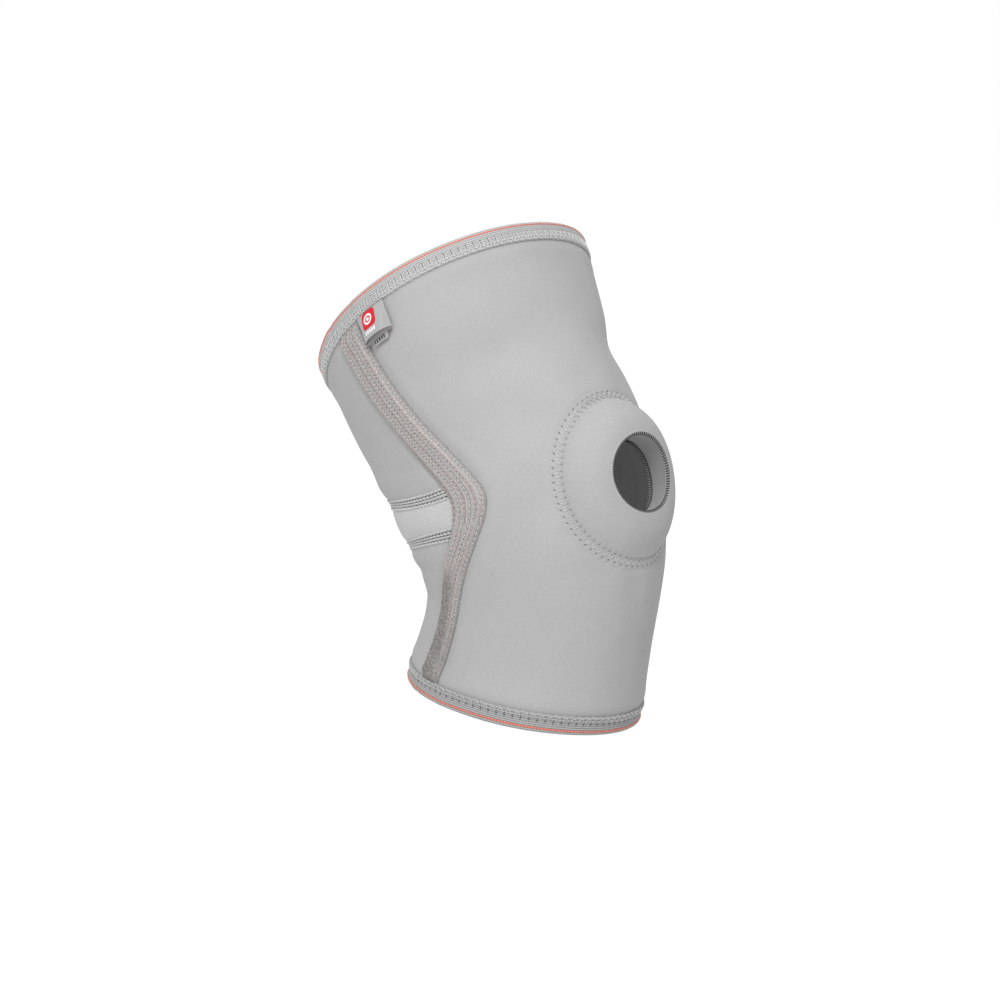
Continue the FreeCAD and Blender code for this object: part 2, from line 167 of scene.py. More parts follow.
def degrees_off_front(phi):
    d = np.degrees(np.asarray(phi, float)) % 360
    return np.where(d > 180, 360 - d, d)


def seam(s):
    return np.radians(seam_degrees(s))


def run_length(p):
    """Length along points (..., M, axes), from 0 at the first."""
    steps = np.linalg.norm(np.diff(p, axis=-2), axis=-1)
    return np.concatenate([0 * steps[..., :1], np.cumsum(steps, -1)], -1)


def pair(a, b):
    return np.stack(np.broadcast_arrays(a, b), -1)


# arc lengths round the front and down its middle, for the round pieces at the kneecap
ARC_S = np.arange(-60.0, 100.0, 1.0)
ARC_PHI = np.radians(np.arange(-100, 100.5, 0.5))
ARC_L = run_length(skin(ARC_S[:, None], ARC_PHI[None, :]))
ARC_L -= ARC_L[:, len(ARC_PHI) // 2][:, None]
RUN_S = np.arange(-110, 150, 0.5)
RUN_V = run_length(skin(RUN_S, 0 * RUN_S))
RUN_V -= np.interp(RING_AT, RUN_S, RUN_V)


def arc_length(s, phi):
    i = np.clip(s - ARC_S[0], 0, len(ARC_S) - 1.001)
    j = np.clip((phi - ARC_PHI[0]) / (ARC_PHI[1] - ARC_PHI[0]), 0, len(ARC_PHI) - 1.001)
    i0, j0 = i.astype(int), j.astype(int)
    fi, fj = i - i0, j - j0
    return ((ARC_L[i0, j0] * (1 - fj) + ARC_L[i0, j0 + 1] * fj) * (1 - fi)
            + (ARC_L[i0 + 1, j0] * (1 - fj) + ARC_L[i0 + 1, j0 + 1] * fj) * fi)


def ring_place(rho, psi):
    """Station and angle at a distance rho from the kneecap's centre, in the direction psi."""
    rho, psi = spread(rho, psi)
    s = np.interp(rho * np.sin(psi), RUN_V, RUN_S)
    u = rho * np.cos(psi)
    phi = u / MEAN_RADIUS
    for _ in range(8):
        phi = phi + (u - arc_length(s, phi)) / girth_rate(s, phi)
    return s, phi


def ring_rho(s, phi):
    v = np.interp(s, RUN_S, RUN_V)
    return np.hypot(arc_length(s, phi), v), v


def bell(x, width):
    return np.exp(-(x / width) ** 2)


def on_table(s):
    """Keeps a station where the arc lengths are known."""
    return np.clip(s, -55, 95)


FAR = 90.0               # stands for any distance beyond the ring's reach


def relief(s, phi):
    """The small unevenness of worn cloth and the dents that seams pull, in millimetres outward."""
    s, phi = spread(s, phi)
    d = degrees_off_front(phi)
    side = np.sin(phi)
    turn = np.arctan2(side, np.cos(phi))
    soft = 0.28 * np.sin(s / 13.0 + 2.1 * np.sin(2 * phi + 0.6)) * np.sin(3 * phi + 0.8) \
        + 0.16 * np.sin(s / 6.5 + 3 * phi) * np.cos(phi * 5 - s / 31)
    # cross folds behind the knee
    back = bell(d - 180, 52)
    folds = -0.75 * bell(s + 9 + 3 * side, 3.0) - 0.6 * bell(s + 22 - 4 * side, 2.6) \
        + 0.5 * bell(s + 15, 4.5) - 0.35 * bell(s - 61 + 5 * side, 4.0)
    # a ditch round the kneecap ring, and pull lines that run out from it
    near = (np.abs(s - RING_AT) < 62) & (d < 70)
    front = np.clip(np.where(d < 90, turn, 0), -1.5, 1.5)
    rho = np.where(near, ring_rho(on_table(s), front)[0], FAR)
    ring = -0.12 * bell(rho - 40.8, 2.0) + 0.1 * bell(rho - 46.5, 3.5)
    pulls = 0.3 * bell(rho - 52, 9) * np.sin(np.arctan2(s - RING_AT, SEAM_RADIUS * phi) * 9 + 1)
    # along both edges of the casings
    beside = np.abs((np.abs(turn) - seam(s)) * DENT_RADIUS)
    tape = -0.3 * bell(beside - 8.4, 1.3) + 0.25 * bell(beside - 12.5, 3.0)
    # at the two seams of the insert, with the cloth swelling on both sides of each
    above, below = s - insert_top(phi), s - insert_low(phi)
    around = 0.5 * bell(above - 11, 5) + 0.4 * bell(above + below, 14) + 0.5 * bell(below + 11, 5)
    pinch = clamp((d - 84) / 8) * (around - 1.4 * bell(above, 4.4) - 1.4 * bell(below, 4.4))
    hollow = -3.4 * bell(s - 78, 13) * bell(d - 40, 26)     # above the kneecap
    top, low = top_hem(phi) - s, s - bottom_hem(phi)
    hems = -0.3 * clamp((10 - top) / 4) - 1.1 * clamp((11 - low) / 5)
    for inward in (top, low):
        hems = hems + 0.45 * bell(inward - 14, 4) - 0.25 * bell(inward - 9.8, 1.2)
    fade = np.where(rho < FAR - 1, clamp((rho - 43) / 12), 1)
    return (soft + back * folds) * fade + ring + pulls + tape + hems + hollow + pinch


def place(s, phi, off=0.0):
    """Point at an offset from the skin, and the skin's normal there."""
    s, phi, off = spread(s, phi, off)
    n = skin_normal(s, phi)
    return skin(s, phi) + n * (off + relief(s, phi))[..., None], n


def ring_rise(rho, psi):
    """Height of the padded ring: a short foot, then a dome up to its crown."""
    t = clamp((RING_FOOT_R - rho) / (RING_FOOT_R - RING_CROWN_R))
    foot = clamp(t / RING_FOOT_SHARE)
    return RING_RISE * (1 + RING_LEAN * np.sin(psi)) * (1 - (1 - t) ** RING_ROUND) * foot * (2 - foot)


def insert_line(phi, at_side, at_back):
    t = clamp((degrees_off_front(phi) - INSERT_FROM) / (180 - INSERT_FROM))
    return at_side + (at_back - at_side) * np.sin(t * math.pi / 2) ** 2


def insert_top(phi):
    return insert_line(phi, INSERT_TOP, INSERT_TOP_BACK)


def insert_low(phi):
    return insert_line(phi, INSERT_LOW, INSERT_LOW_BACK)


def top_hem(phi):
    return TOP_HEM + TOP_HEM_RISE * np.cos(phi) + TOP_HEM_SIDE * np.sin(phi) ** 2


def bottom_hem(phi):
    return BOTTOM_HEM + BOTTOM_HEM_RISE * np.cos(phi)


# ---- materials
class Nodes:
    """Short calls for building a node tree."""

    def __init__(self, name):
        self.m = bpy.data.materials.new(name)
        self.m.use_nodes = True
        self.t = self.m.node_tree
        self.bsdf = self.t.nodes["Principled BSDF"]

    def surface(self, inputs):
        for key, v in inputs.items():
            self.set(self.bsdf.inputs[key], v)

    def new(self, kind, inputs=(), **props):
        n = self.t.nodes.new(kind)
        for k, v in props.items():
            setattr(n, k, v)
        for key, v in dict(inputs).items():
            self.set(n.inputs[key], v)
        return n

    def set(self, socket, v):
        if isinstance(v, bpy.types.NodeSocket):
            self.t.links.new(v, socket)
        else:
            socket.default_value = v

    def math(self, op, a, b=0.0, c=0.0):
        return self.new("ShaderNodeMath", {0: a, 1: b, 2: c}, operation=op).outputs[0]

    def add(self, a, b):
        return self.math("ADD", a, b)

    def fit(self, x, gain, start):
        return self.math("MULTIPLY_ADD", x, gain, start)

    def sine(self, x):
        return self.math("SINE", x)

    def above(self, x, limit):
        return self.math("GREATER_THAN", x, limit)

    def mul(self, a, b):
        return self.math("MULTIPLY", a, b)

    def hill(self, turn):
        """A sine wave raised to run from 0 to 1."""
        return self.fit(self.sine(turn), 0.5, 0.5)

    def wave(self, x, period, shift=0.0):
        return self.hill(self.fit(x, TAU / period, shift))

    def uv(self):
        xyz = self.new("ShaderNodeSeparateXYZ", {0: self.new("ShaderNodeTexCoord").outputs["UV"]})
        return self.mul(xyz.outputs[0], 100.0), self.mul(xyz.outputs[1], 100.0)

    def noise(self, u, v, scale, detail=2.0, w=0.0):
        at = self.new("ShaderNodeCombineXYZ", {0: u, 1: v, 2: w}).outputs[0]
        return self.new("ShaderNodeTexNoise", {"Vector": at, "Scale": scale, "Detail": detail}).outputs["Fac"]

    def attribute(self, name):
        return self.new("ShaderNodeAttribute", attribute_name=name).outputs["Fac"]

    def mix(self, f, a, b):
        n = self.new("ShaderNodeMix", data_type="RGBA")
        for key, v in ((0, f), (6, a), (7, b)):
            self.set(n.inputs[key], v)
        return n.outputs[2]

    def ramp(self, f, lo, hi):
        return self.new("ShaderNodeMapRange", {0: f, 1: lo, 2: hi, 3: 0.0, 4: 1.0}).outputs[0]


def grey(v, tint=(1, 0.996, 0.997)):
    return tuple(v * k for k in tint) + (1,)


def knit_height(n, u, v, wale, course):
    """Stockinette: columns of leaning stitches."""
    a = n.math("ABSOLUTE", n.math("SUBTRACT", n.math("FRACT", n.math("DIVIDE", u, wale)), 0.5))
    phase = n.fit(a, 1.5, n.math("DIVIDE", v, course))
    return n.mul(n.hill(n.mul(phase, TAU)), n.sine(n.mul(a, TAU)))


def checks(n, u, v, pitch):
    """Squares above and below 0 in turn."""
    return n.mul(n.sine(n.mul(u, math.pi / pitch)), n.sine(n.mul(v, math.pi / pitch)))


def weave_height(n, u, v, pitch):
    """The warp shows on one half of the squares and the weft on the others."""
    warp = n.above(checks(n, u, v, pitch), 0)
    return n.add(n.mul(n.wave(u, pitch), warp), n.mul(n.wave(v, pitch), n.math("SUBTRACT", 1.0, warp)))


# the colour of the painted shade in needle holes, grooves and along edges
PAINTED_SHADE_COLOUR = grey(0.05)


def cloth(name, colour, height, bump, rough=0.95, sheen=0.08, mottle=0.05, deep=0.12, speckle=None):
    """height(n, u, v) is the weave, 0 to 1; bump is its depth in millimetres, and deep how much darker
    its hollows are painted: painted shade. The hole attribute paints shade into needle holes and grooves."""
    n = Nodes(name)
    u, v = n.uv()
    h = height(n, u, v)
    big = n.noise(u, v, 0.045, 3.0)
    fine = n.noise(u, v, 2.6, 2.0, 5.0)
    tone = n.fit(big, 2 * mottle, 1 - mottle)
    tone = n.mul(tone, n.fit(fine, 0.22, 0.89))
    tone = n.mul(tone, n.fit(n.noise(u, v, 1.4, 1.0, 11.0), 0.16, 0.92))
    # painted shade in the hollows of the weave
    tone = n.mul(tone, n.fit(h, deep, 1 - deep))
    tones = n.new("ShaderNodeCombineXYZ", {0: tone, 1: tone, 2: tone}).outputs[0]
    col = n.new("ShaderNodeVectorMath", {0: colour[:3], 1: tones}, operation="MULTIPLY").outputs[0]
    if speckle:
        col = speckle(n, u, v, col)
    # the hole attribute paints shade into needle holes, grooves and edges
    hole = n.math("MINIMUM", n.attribute("hole"), 1.0)
    total = n.add(h, n.mul(fine, 0.5))
    b = n.new("ShaderNodeBump", {"Height": total, "Distance": bump * 0.001, "Strength": 1.0})
    n.surface({"Base Color": n.mix(hole, col, PAINTED_SHADE_COLOUR), "Roughness": n.fit(h, -0.08, rough),
               "Sheen Weight": sheen, "Sheen Roughness": 0.5, "Specular IOR Level": 0.25,
               "Normal": b.outputs[0]})
    return n.m


def tape_speckle(n, u, v, col):
    """Salmon warp floats, pale sparks and dark pits on the tape, and its darker felted half."""
    dash = n.mul(n.above(n.noise(n.mul(u, 2.2), n.mul(v, 0.7), 1.0, 0.0, 3.0), 0.54),
                 n.above(n.wave(u, 1.15, 0.7), 0.5))
    col = n.mix(n.mul(dash, 0.4), col, (0.58, 0.37, 0.33, 1))
    across, along = n.mul(u, 1.4), n.mul(v, 0.6)
    spark = n.above(n.noise(across, along, 2.0, 1.0, 2.0), 0.58)
    col = n.mix(n.mul(spark, 0.36), col, grey(0.74))
    pit = n.math("LESS_THAN", n.noise(across, along, 2.0, 1.0, 7.0), 0.41)
    col = n.mix(n.mul(pit, 0.36), col, grey(0.13))
    fleck = n.ramp(n.noise(u, v, 1.5, 1.0, 9.0), 0.40, 0.58)
    felted = n.mul(n.attribute("felt"), n.fit(fleck, 0.72, 0.27))
    return n.mix(felted, col, grey(0.155, (1, 0.95, 0.93)))


def fine_knit(n, u, v):
    return knit_height(n, u, v, 0.9, 0.75)


def honeycomb(n, u, v):
    """Small holes in offset rows."""
    return n.math("ABSOLUTE", checks(n, n.add(u, v), n.math("SUBTRACT", u, v), 1.5))


def tape_ribs(n, u, v):
    return n.wave(u, 1.1)


def twist(n, u, v):
    return n.wave(n.add(u, v), 0.9)


def label_weave(n, u, v):
    return weave_height(n, u, v, 0.45)


KNIT = cloth("knit", grey(0.40), fine_knit, 0.05, deep=0.10)
FACING = cloth("ring_facing", grey(0.395), fine_knit, 0.05, deep=0.10)
# the facing cloth made darker up the wall of the hole: painted shade
BORE = cloth("bore_wall_painted_shade", grey(0.32), fine_knit, 0.12, deep=0.2)
LINING = cloth("lining", grey(0.34), lambda n, u, v: knit_height(n, u, v, 1.3, 1.1), 0.16, mottle=0.08,
               deep=0.2)
CUT_EDGE = cloth("cut_edge", grey(0.22), lambda n, u, v: n.noise(u, v, 2.0, 2.0), 0.1)
MESH = cloth("insert_knit", grey(0.60), honeycomb, 0.16, deep=0.32)
BINDING = cloth("binding_tape", grey(0.50), tape_ribs, 0.08, deep=0.16, sheen=0.15)
# a darker copy of the binding tape for the lower hem: painted shade
BINDING_SHADED = cloth("binding_tape_painted_shade", grey(0.43), tape_ribs, 0.08, deep=0.2, sheen=0.12)
TAPE = cloth("casing_tape", grey(0.46, (1, 0.975, 0.965)),
             lambda n, u, v: n.mul(n.wave(v, 0.8), n.wave(u, 0.85)), 0.12, deep=0.3, speckle=tape_speckle)
BASE = cloth("seam_base", grey(0.40), lambda n, u, v: n.wave(u, 1.7), 0.1, deep=0.3)
THREAD = cloth("thread", grey(0.70), twist, 0.12, rough=0.7, sheen=0.15, deep=0.3)
THREAD_GREY = cloth("thread_grey", grey(0.56), twist, 0.12, rough=0.7, sheen=0.15, deep=0.3)
THREAD_SOFT = cloth("thread_soft", grey(0.56), twist, 0.08, rough=0.85, deep=0.2)
# dots of painted shade in the casing's needle holes
NEEDLE_HOLE_SHADE = cloth("needle_hole_painted_shade", grey(0.16), twist, 0.1, rough=0.75, deep=0.3)
# dark overlock thread, and dots of painted shade between the insert seam's cords
DARK_THREAD_AND_SHADE = cloth("dark_thread_and_painted_shade", grey(0.05), twist, 0.1, rough=0.75, deep=0.3)
THREAD_ROSE = cloth("thread_rose", (0.56, 0.45, 0.42, 1), twist, 0.12, rough=0.7, deep=0.3)
CORAL = cloth("coral_yarn", (0.86, 0.22, 0.15, 1), lambda n, u, v: n.wave(n.fit(v, 1.5, u), 1.6),
              0.25, rough=0.65, sheen=0.15, mottle=0.12, deep=0.42)
LABEL = cloth("label_tape", grey(0.37), label_weave, 0.04, rough=0.6, sheen=0.3, deep=0.12)
LABEL_EDGE = cloth("label_edge", (0.27, 0.20, 0.19, 1), lambda n, u, v: n.wave(u, 0.6), 0.05, deep=0.3)
PRINT = cloth("label_print", (0.61, 0.012, 0.022, 1), label_weave, 0.04, rough=0.5, deep=0.08)
PRINT_WHITE = cloth("label_print_white", grey(0.80), label_weave, 0.04, rough=0.5, deep=0.08)
PRINT_DARK = cloth("label_print_dark", grey(0.05), label_weave, 0.04, rough=0.7, deep=0.08)


def solid_material(name, colour, rough, metal=0.0, bump=0.05):
    n = Nodes(name)
    at = n.new("ShaderNodeTexCoord").outputs["Object"]
    f = n.new("ShaderNodeTexNoise", {"Vector": at, "Scale": 600.0, "Detail": 3.0}).outputs["Fac"]
    b = n.new("ShaderNodeBump", {"Height": f, "Distance": bump * 0.001})
    low = tuple(c * 0.85 for c in colour) + (1,)
    n.surface({"Base Color": n.mix(f, low, colour + (1,)), "Metallic": metal,
               "Roughness": n.fit(f, 0.2, rough - 0.1), "Normal": b.outputs[0]})
    return n.m


STEEL = solid_material("spring_steel", (0.55, 0.55, 0.57), 0.35, 1.0, 0.02)
CAP = solid_material("stay_cap", (0.72, 0.72, 0.68), 0.45)


# ---- mesh building
def add_object(name, data):
    obj = bpy.data.objects.new(name, data)
    bpy.context.scene.collection.objects.link(obj)
    return obj


def build(name, verts, quads, uv, materials, index=None, sharp=50, period=0.0, **attributes):
    """An object from corner points in millimetres and four-cornered faces. uv closes after period."""
    me = bpy.data.meshes.new(name)
    verts = np.asarray(verts, float).reshape(-1, 3) * 0.001
    quads = np.asarray(quads, np.int32).reshape(-1, 4)
    me.vertices.add(len(verts))
    me.vertices.foreach_set("co", verts.astype(np.float32).ravel())
    me.loops.add(quads.size)
    me.loops.foreach_set("vertex_index", quads.ravel())
    me.polygons.add(len(quads))
    me.polygons.foreach_set("loop_start", np.arange(0, quads.size, 4, dtype=np.int32))
    for m in materials:
        me.materials.append(m)
    if index is not None:
        me.polygons.foreach_set("material_index", np.asarray(index, np.int32))
    me.polygons.foreach_set("use_smooth", np.ones(len(quads), bool))
    layer = me.uv_layers.new(name="UVMap")
    uv = np.asarray(uv, float).reshape(-1, 2) * 0.01
    loops = uv[quads.ravel()].reshape(-1, 4, 2)
    if period:
        u = loops[..., 0]
        u += period * 0.01 * (u.max(1, keepdims=True) - u > period * 0.005)
    layer.data.foreach_set("uv", loops.astype(np.float32).ravel())
    for key, values in attributes.items():
        a = me.attributes.new(key, "FLOAT", "POINT")
        a.data.foreach_set("value", np.asarray(values, np.float32).ravel())
    me.update(calc_edges=True)
    me.validate()
    if sharp:
        me.set_sharp_from_angle(angle=math.radians(sharp))
    return add_object(name, me)


def grid_quads(nu, nv, wrap=False, start=0):
    i, j = np.meshgrid(np.arange(nu if wrap else nu - 1), np.arange(nv - 1), indexing="ij")
    k = (i + 1) % nu
    return (start + np.stack([i * nv + j, k * nv + j, k * nv + j + 1, i * nv + j + 1], -1)).reshape(-1, 4)


def shell(name, outer, inner, uv, materials, keep=None, **attributes):
    """A wall with an outer and an inner face and closed edges. keep drops faces of the grid."""
    nu, nv = outer.shape[:2]
    total = nu * nv
    q = grid_quads(nu, nv)
    if keep is not None:
        q = q[keep.reshape(-1)]
    edge = {}
    for f in q:
        for a, b in zip(f, np.roll(f, -1)):
            if (b, a) in edge:
                del edge[(b, a)]
            else:
                edge[(a, b)] = 1
    rim = np.array([[b, a, a + total, b + total] for a, b in edge]) if edge else np.zeros((0, 4), int)
    quads = np.concatenate([q, q[:, ::-1] + total, rim])
    index = np.concatenate([np.zeros(len(q)), np.ones(len(q)), np.full(len(rim), 2)])
    attrs = {k: np.concatenate([v.ravel(), 0 * v.ravel()]) for k, v in attributes.items()}
    return build(name, np.concatenate([outer.reshape(-1, 3), inner.reshape(-1, 3)]), quads,
                 np.concatenate([uv.reshape(-1, 2)] * 2), materials, index, **attrs)


def tubes(points, normals, radius, sides=6, closed=False, flat=1.0):
    """points (K, M, 3): K threads of M points. Gives corner points, faces and uv."""
    k, m = points.shape[:2]
    if closed:
        t = np.roll(points, -1, 1) - np.roll(points, 1, 1)
    else:
        t = np.gradient(points, axis=1)
    t = unit(t)
    b = unit(np.cross(t, normals))
    n = np.cross(b, t)
    a = turns(sides)
    r = np.broadcast_to(np.asarray(radius, float), (k, m))[..., None, None]
    across, out = np.cos(a)[:, None] * b[:, :, None], flat * np.sin(a)[:, None] * n[:, :, None]
    ring = points[:, :, None] + r * (across + out)
    uv = pair(run_length(points)[..., None], (np.arange(sides) / sides)[None, None])
    j, i = np.meshgrid(np.arange(sides), np.arange(m if closed else m - 1), indexing="xy")
    i2, j2 = (i + 1) % m, (j + 1) % sides
    q = np.stack([i * sides + j, i2 * sides + j, i2 * sides + j2, i * sides + j2], -1).reshape(-1, 4)[:, ::-1]
    q = (q[None] + (np.arange(k) * m * sides)[:, None, None]).reshape(-1, 4)
    return ring.reshape(-1, 3), q, uv.reshape(-1, 2)


def join(name, parts, materials):
    """parts: (corner points, faces, uv, material index)"""
    verts, quads, uvs, index, base = [], [], [], [], 0
    for v, q, uv, m in parts:
        verts.append(v)
        quads.append(q + base)
        uvs.append(uv)
        index.append(np.full(len(q), m))
        base += len(v)
    return build(name, np.concatenate(verts), np.concatenate(quads), np.concatenate(uvs), materials,
                 np.concatenate(index), sharp=0)


def stitches(where, a, b, lift, radius, sink=0.25, m=7, base=0.0):
    """Threads from a to b (K, 2 in the surface's own two coordinates), arched by lift."""
    t = np.linspace(0, 1, m)
    ab = a[:, None] + (b - a)[:, None] * t[None, :, None]
    off = base + lift * np.sin(math.pi * t) ** 0.6 - sink * (np.abs(2 * t - 1) ** 6)
    p, n = where(ab[..., 0], ab[..., 1], off[None])
    return tubes(p, n, radius)


def upper(obj):
    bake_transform(obj)
    return obj


def lower(obj):
    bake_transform(obj)
    return obj


def patch_params(phi_range, s_low, s_high, nu, nv):
    u, v = np.meshgrid(np.linspace(0, 1, nu), np.linspace(0, 1, nv), indexing="ij")
    s = KNEE_S + 0 * u
    for _ in range(8):
        a, b = phi_range(s)
        phi = a + (b - a) * u
        s = s_low(phi) + (s_high(phi) - s_low(phi)) * v
    return s, phi


def front_range(s):
    g = PANEL_GAP / SEAM_RADIUS
    return -seam(s) + g, seam(s) - g


def back_range(s):
    g = PANEL_GAP / SEAM_RADIUS
    return seam(s) + g, TAU - seam(s) - g


def mm_uv(s, phi):
    return pair(MEAN_RADIUS * phi, s)


def panel(name, phi_range, s_low, s_high, thick, materials, nu, nv, bore=False):
    s, phi = patch_params(phi_range, s_low, s_high, nu, nv)
    keep, sunk = None, 0.0
    if bore:
        # points close to the hole move on to its rim, and the faces inside it are left out
        rho, v = ring_rho(on_table(s), np.clip(phi, -1.7, 1.7))
        psi = np.arctan2(v, arc_length(on_table(s), phi))
        near = (rho > HOLE_CUT) & (rho < HOLE_NEAR)
        rim_s, rim_phi = ring_place(np.where(near, HOLE_RIM, 30), psi)
        s, phi = np.where(near, rim_s, s), np.where(near, rim_phi, phi)
        c = (rho <= HOLE_CUT).astype(int)
        keep = c[:-1, :-1] + c[1:, :-1] + c[1:, 1:] + c[:-1, 1:] == 0
        sunk = -0.9 * clamp((43.5 - rho) / 0.6)
    outer, _ = place(s, phi, sunk)
    inner, _ = place(s, phi, -thick)
    return shell(name, outer, inner, mm_uv(s, phi), materials, keep, hole=0 * s)


WALL = [KNIT, LINING, CUT_EDGE]
STEP = 1.25


def count(length):
    return max(int(length / STEP), 6)


def split(at):
    return SPLIT_AT + 0 * at


def top_edge(phi):
    return top_hem(phi) - HEM_TUCK


def low_edge(phi):
    return bottom_hem(phi) + HEM_TUCK


front_upper = upper(panel("front_panel_upper", front_range, split, top_edge,
                          PANEL, WALL, count(205), count(118), bore=True))
front_lower = lower(panel("front_panel_lower", front_range, low_edge, split,
                          PANEL, WALL, count(205), count(82), bore=True))
rear_upper = upper(panel("rear_thigh_panel", back_range, lambda p: insert_top(p) + PANEL_GAP, top_edge,
                         PANEL, WALL, count(190), count(85)))
insert = upper(panel("popliteal_insert", back_range, lambda p: insert_low(p) + PANEL_GAP,
                     lambda p: insert_top(p) - PANEL_GAP,
                     INSERT_LINED, [MESH, LINING, CUT_EDGE], count(200), count(25)))
rear_lower = lower(panel("rear_calf_panel", back_range, low_edge, lambda p: insert_low(p) - PANEL_GAP,
                         PANEL, WALL, count(190), count(85)))
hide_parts("front_panel_thigh", "front_panel_knee")
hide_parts("front_panel_calf")
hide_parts("rear_thigh_panel", "rear_thigh_panel_lower")
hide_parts("popliteal_insert")
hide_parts("rear_calf_panel_upper", "rear_calf_panel")


# ---- patella ring
def ring_where(rho, psi, off):
    s, phi = ring_place(rho, psi)
    return place(s, phi, off)


ZIGZAGS = 74
ZIG_OUT, ZIG_IN = 42.7, 38.9
DOME_FROM = 18.7         # where the dome starts, outside the turned rim
WALL_UV_RADIUS = 18.0    # of the knit up the wall of the hole
PRESSURE, SWELL_FRAMES = 20.0, 20
INNER_ROW = 18           # the row of simulated points at the inner needle holes
TO_SIM, FROM_SIM = 0.01, 100


def needle(x, y, length, width):
    """A hole drawn out along x."""
    return np.exp(-(x / length) ** 2 - (y / width) ** 2)


def swell():
    """Cloth simulation of the facing over its soft ring, held at the rim and at each needle hole.
    Gives a coarse grid of how far it moved out, in millimetres."""
    n = 2 * ZIGZAGS
    radii = np.concatenate([np.linspace(DOME_FROM, ZIG_IN, INNER_ROW + 1), [ZIG_IN + 1.9, ZIG_OUT]])
    psi = turns(n)[:, None]
    push = np.zeros((n, len(radii)))
    p, nrm = ring_where(radii[None], psi, ring_rise(radii[None], psi))
    me = bpy.data.meshes.new("swell")
    faces = grid_quads(n, len(radii), wrap=True)[:, ::-1]
    me.from_pydata((p.reshape(-1, 3) * TO_SIM).tolist(), [], faces.tolist())
    o = add_object("swell", me)
    hold = np.zeros(push.shape, bool)
    hold[:, 0] = hold[:, -1] = hold[1::2, INNER_ROW] = True
    o.vertex_groups.new(name="pins").add(np.flatnonzero(hold.ravel()).tolist(), 1.0, "REPLACE")
    modifier = o.modifiers.new("cloth", "CLOTH")
    modifier.collision_settings.use_collision = False
    c = modifier.settings
    c.quality, c.mass, c.vertex_group_mass = 6, 0.3, "pins"
    c.tension_stiffness, c.compression_stiffness, c.shear_stiffness, c.bending_stiffness = 5, 5, 2, 1.0
    c.use_pressure, c.uniform_pressure_force = True, PRESSURE
    c.effector_weights.gravity = 0.0
    for f in range(1, SWELL_FRAMES + 1):
        bpy.context.scene.frame_set(f)
    got = np.empty(p.size)
    o.evaluated_get(bpy.context.evaluated_depsgraph_get()).data.vertices.foreach_get("co", got)
    push = ((got.reshape(p.shape) * FROM_SIM - p) * nrm).sum(-1)
    bpy.context.scene.frame_set(1)
    bpy.data.objects.remove(o)
    bpy.data.meshes.remove(me)
    print("swell of the ring facing, mm:", push.min(), push.mean(), push.max())
    # the worn dome already has its round shape, so most of the even part is taken out
    return radii, np.clip(push - 0.65 * push.mean(0), -0.5, 1.0)


def ring_facing():
    """Up the wall of the hole, over the rim, down the dome and under the zigzag seam."""
    n = ZIGZAGS * 12
    psi = turns(n)[:, None]
    crown = ring_rise(0, psi)
    wall = np.linspace(0, 1, 10)
    turn = np.linspace(0.2, math.pi / 2, 7)
    dome = np.concatenate([np.linspace(DOME_FROM, 37.0, 26), np.arange(37.3, 45.2, 0.28)])
    rho = np.concatenate([BORE_BACK + (BORE_FRONT - BORE_BACK) * wall, BORE_FRONT + 1.0 - np.cos(turn), dome])
    rho = rho[None]
    skirt = 0.12 - 0.5 * clamp((dome - 43.9) / 1.2)
    off = np.concatenate([-PANEL - 0.2 + (crown - 1.0 + PANEL + 0.2) * wall, crown - 1.0 + np.sin(turn),
                          ring_rise(dome, psi) + skirt], 1)
    # the needle holes of both rows, drawn out along their threads, and the cloth puckered between them
    k = psi / TAU * ZIGZAGS
    y, x = ZIG_OUT - rho, rho - ZIG_IN
    a = ((k + 0.5) % 1 - 0.5) * TAU / ZIGZAGS * ZIG_OUT - 0.4 * y
    b = (k % 1 - 0.5) * TAU / ZIGZAGS * ZIG_IN + 0.3 * x
    off = off - 0.5 * needle(y - 0.1, a, 0.62, 0.38) - 0.4 * needle(x, b, 0.55, 0.38) \
        + 0.07 * (bell(rho - 37.2, 1.3) - bell(rho - 43.8, 0.8)) * np.cos(TAU * k)
    # painted shade in the needle holes, drawn out along each thread as its painted shadow
    hole = clamp(1.15 * needle(y - 0.1, a, 0.52, 0.28) + needle(x, b, 0.42, 0.28))
    radii, push = swell()
    waves = np.fft.rfft(push, axis=0)
    waves[9:60] = 0          # keeps the slow swell and the pucker at each stitch
    even = np.fft.irfft(waves, n, axis=0) * n / len(push)
    off = off + np.array([np.interp(rho[0], radii, row, 0, 0) for row in even])
    p, _ = ring_where(rho, psi, off)
    uv = pair(rho * np.cos(psi), rho * np.sin(psi))
    uv[:, :14, 0], uv[:, :14, 1] = psi * WALL_UV_RADIUS, off[:, :14]
    # two more rows close the ring underneath
    under, _ = ring_where(np.array([[45.2, BORE_BACK]]), psi, np.array([[-0.5, -PANEL - 0.4]]))
    m = rho.shape[1]
    # the rows up the wall of the hole take the darker copy of the cloth: painted shade
    index = np.tile(np.where(np.arange(m + 1) < 11, 1, 0), n)
    return build("patella_ring_pad", np.concatenate([p, under], 1), grid_quads(n, m + 2, wrap=True),
                 np.concatenate([uv, uv[:, :2]], 1), [FACING, BORE], index, sharp=70,
                 period=TAU * WALL_UV_RADIUS, hole=np.concatenate([hole, np.zeros((n, 2))], 1))


ring = ring_facing()
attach(ring, "knee")
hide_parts("patella_ring_facing", "patella_ring_pad")

